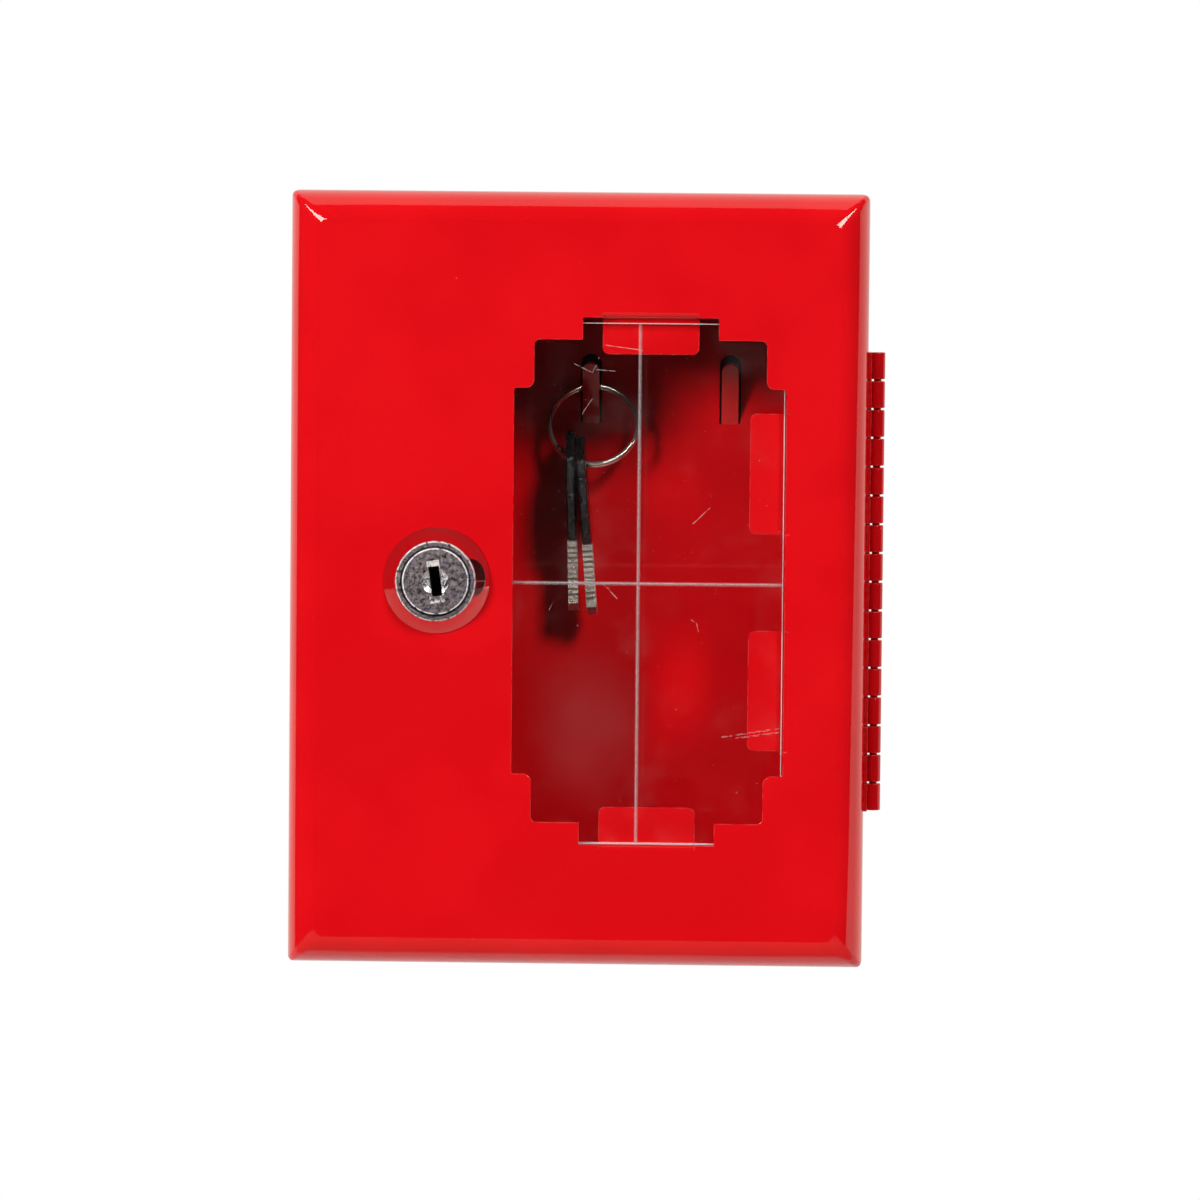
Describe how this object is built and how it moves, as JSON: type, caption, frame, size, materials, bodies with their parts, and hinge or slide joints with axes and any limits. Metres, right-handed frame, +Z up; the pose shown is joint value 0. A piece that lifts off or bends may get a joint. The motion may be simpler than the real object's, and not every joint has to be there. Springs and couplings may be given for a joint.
{
  "type": "break glass key box",
  "caption": "Wall key box of folded red steel with a rolled-edge hinged door, a scored clear pane behind a stepped window, a cam lock, lanced hooks and keys on a split ring.",
  "frame": {"origin": "centre of the four wall holes, on the flat back face that lies against the wall", "axes": "+X to the right seen from the front, +Y into the wall, +Z up"},
  "size_m": [0.1235, 0.0448, 0.161],
  "materials": {
    "red_paint": "high-gloss red powder coat on folded steel sheet",
    "acrylic": "clear scored acrylic",
    "chrome_plate": "polished chrome plate",
    "nickel_plate": "bright nickel plate, lightly worn",
    "zinc_steel": "bright zinc-plated steel",
    "brass_core": "turned brass",
    "spring_wire": "drawn spring wire",
    "black_plastic": "moulded black plastic, semi-gloss"
  },
  "bodies": {
    "case": {"case_wrap": "red_paint", "back_panel": "red_paint", "hinge_leaf_case": "red_paint", "hinge_pin": "red_paint"},
    "door": {"door_panel": "red_paint", "hinge_leaf_door": "red_paint", "window_pane": "acrylic", "lock_housing": "chrome_plate", "lock_washer": "zinc_steel", "lock_nut": "zinc_steel"},
    "lock_core": {"lock_plug": "brass_core", "plug_face_cap": "chrome_plate", "stop_washer": "zinc_steel", "cam": "zinc_steel", "spring_washer": "zinc_steel", "cam_screw": "zinc_steel", "wafer_springs": "spring_wire"},
    "wafer_set": {"wafers": "brass_core"},
    "ring": {"key_ring": "nickel_plate"},
    "key_1": {"key_1_blade": "nickel_plate", "key_1_bow": "black_plastic"},
    "key_2": {"key_2_blade": "nickel_plate", "key_2_bow": "black_plastic"}
  },
  "joints": [
    {"name": "door_hinge", "type": "hinge", "parent": "case", "child": "door", "pos_m": [0.062, -0.028, 0], "axis": [0, 0, 1], "range_deg": [0, 180]},
    {"name": "lock_turn", "type": "hinge", "parent": "door", "child": "lock_core", "pos_m": [-0.029, -0.035, 0], "axis": [0, 1, 0], "range_deg": [0, 90]},
    {"name": "wafer_slide", "type": "slide", "parent": "lock_core", "child": "wafer_set", "axis": [-0.1392, 0, 0.9903], "range_m": [0, 0.0006]},
    {"name": "ring_swing", "type": "hinge", "parent": "case", "child": "ring", "pos_m": [0.0024, -0.00215, 0.0395], "axis": [-1, 0, 0], "range_deg": [0, 15]},
    {"name": "key_1_swing", "type": "hinge", "parent": "ring", "child": "key_1", "pos_m": [-0.0022, -0.01043, 0.02421], "axis": [-1, 0, 0], "range_deg": [-4, 10]},
    {"name": "key_2_swing", "type": "hinge", "parent": "ring", "child": "key_2", "pos_m": [0.0001, -0.01089, 0.0234], "axis": [-1, 0, 0], "range_deg": [-4, 10]}
  ]
}
